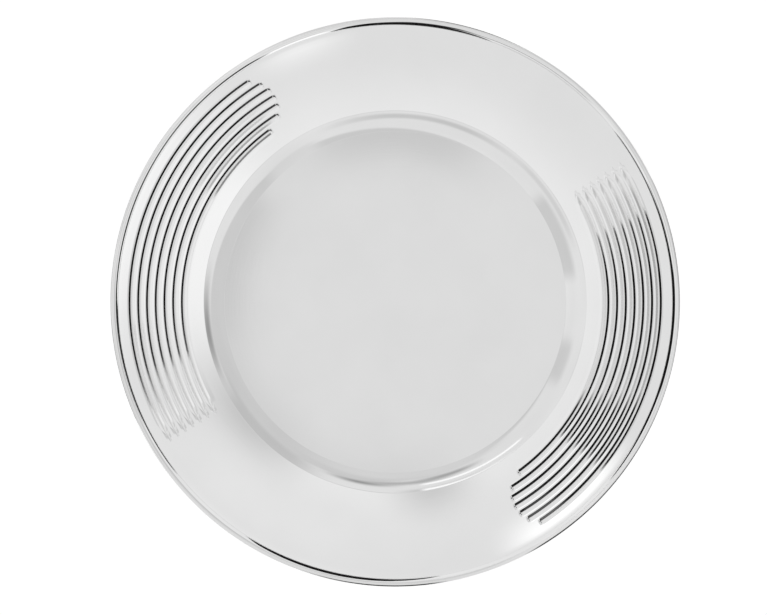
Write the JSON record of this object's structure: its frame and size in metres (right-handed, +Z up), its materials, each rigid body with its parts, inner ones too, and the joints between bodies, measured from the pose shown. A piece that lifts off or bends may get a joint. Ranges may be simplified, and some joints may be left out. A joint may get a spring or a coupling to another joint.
{
  "type": "charger plate",
  "caption": "Round mirror-polished metal charger plate with a shallow flat well, a wide sloping rim pressed with groups of concentric grooves, and a half-round wire border.",
  "frame": {"origin": "centre of the flat underside, on the surface that the plate stands on", "axes": "+Z up along the plate's axis, +X through the middle of one group of grooves"},
  "size_m": [0.31, 0.31, 0.0129],
  "materials": {
    "silver_plate": "polished"
  },
  "bodies": {
    "root": {"plate_body": "silver_plate", "border_wire": "silver_plate"}
  },
  "joints": []
}
